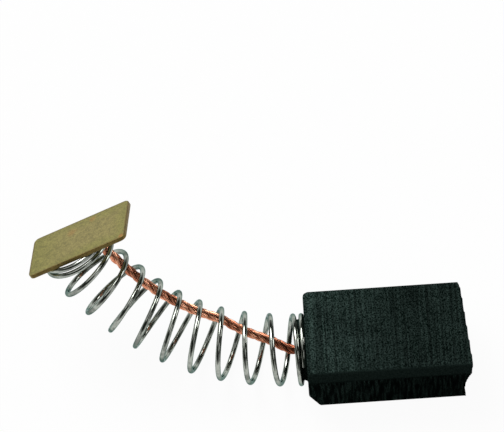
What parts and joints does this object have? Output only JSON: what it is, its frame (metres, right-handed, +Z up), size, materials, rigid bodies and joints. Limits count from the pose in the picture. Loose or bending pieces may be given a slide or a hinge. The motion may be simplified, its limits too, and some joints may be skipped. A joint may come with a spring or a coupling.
{
  "type": "carbon brush",
  "caption": "Rectangular carbon brush with a hollow contact face, a bent open-coil pressure spring, a twisted copper shunt inside it and a flat brass terminal plate.",
  "frame": {"origin": "centre of the carbon block's underside, the wide face that it lies on", "axes": "+X along the block towards the contact face, so the spring and the plate are at -X; +Y across the block, towards the side that the spring bends to; +Z up"},
  "size_m": [0.0365, 0.0153, 0.0143],
  "materials": {
    "carbon": "satin",
    "copper_powder": "matt",
    "spring_steel": "satin",
    "brass": "satin",
    "copper": "satin"
  },
  "bodies": {
    "root": {"carbon_block": "carbon", "tamping_plug": "copper_powder", "compression_spring": "spring_steel", "terminal_plate": "brass", "weld_bead": "copper_powder", "shunt_strand_1": "copper", "shunt_strand_2": "copper", "shunt_strand_3": "copper", "shunt_strand_4": "copper"}
  },
  "joints": []
}
